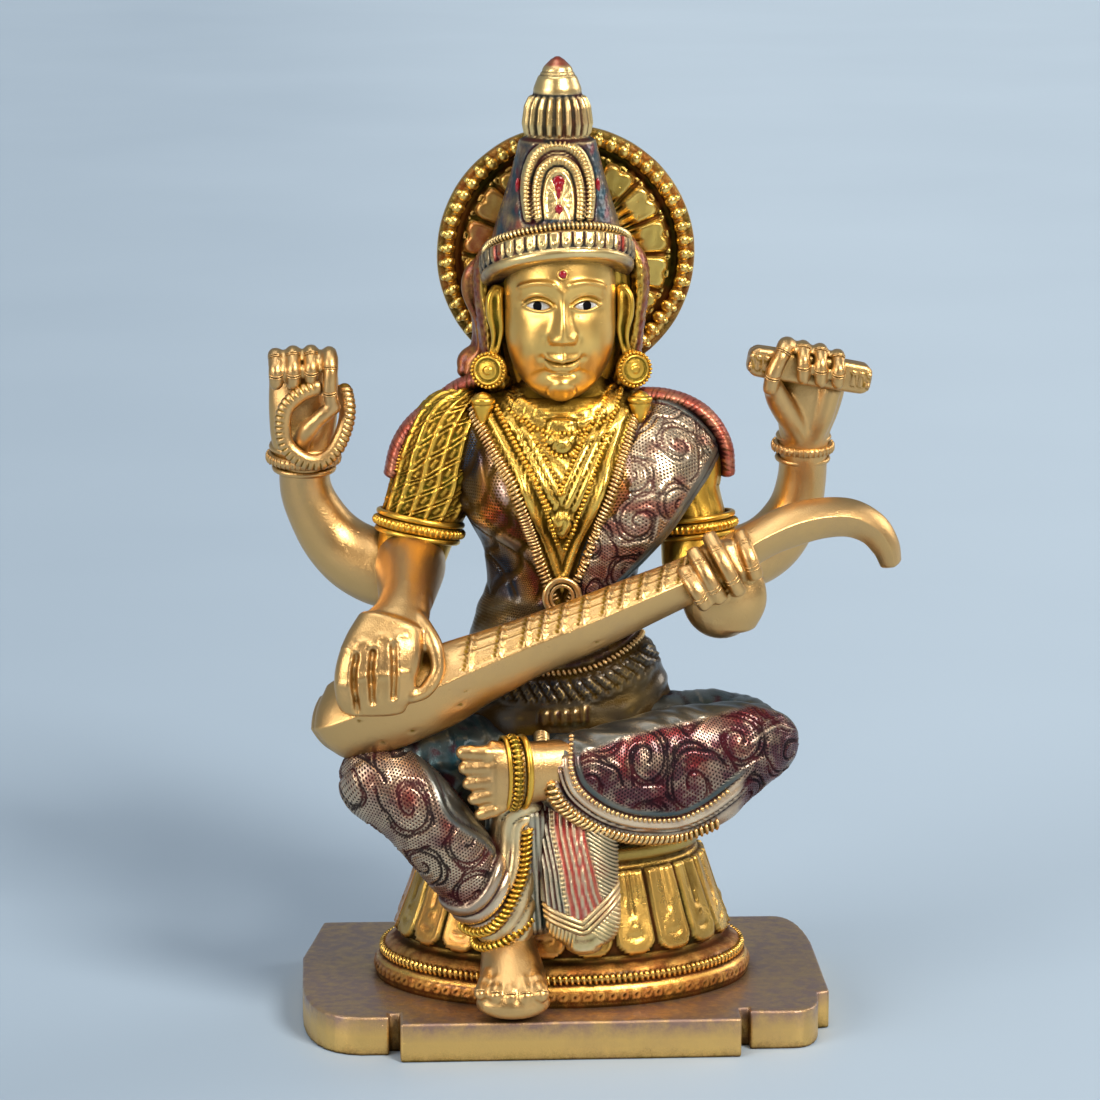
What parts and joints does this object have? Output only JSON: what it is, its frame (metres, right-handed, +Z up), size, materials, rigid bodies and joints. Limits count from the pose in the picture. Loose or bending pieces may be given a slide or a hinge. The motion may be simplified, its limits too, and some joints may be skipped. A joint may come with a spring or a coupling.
{
  "type": "saraswati figure",
  "caption": "Cast brass figure of a seated four-armed lute player with beads and book, halo behind the head, on a lotus pedestal and flat base plate.",
  "frame": {"origin": "middle of the base plate's flat underside", "axes": "+Z up through the crown, -Y the way the figure faces, +X towards its left hand"},
  "size_m": [0.1498, 0.0865, 0.2306],
  "materials": {
    "brass_casting": "satin brass with coloured lacquer and dark patina in the hollows"
  },
  "bodies": {
    "root": {"saraswati_figure": "brass_casting"}
  },
  "joints": []
}
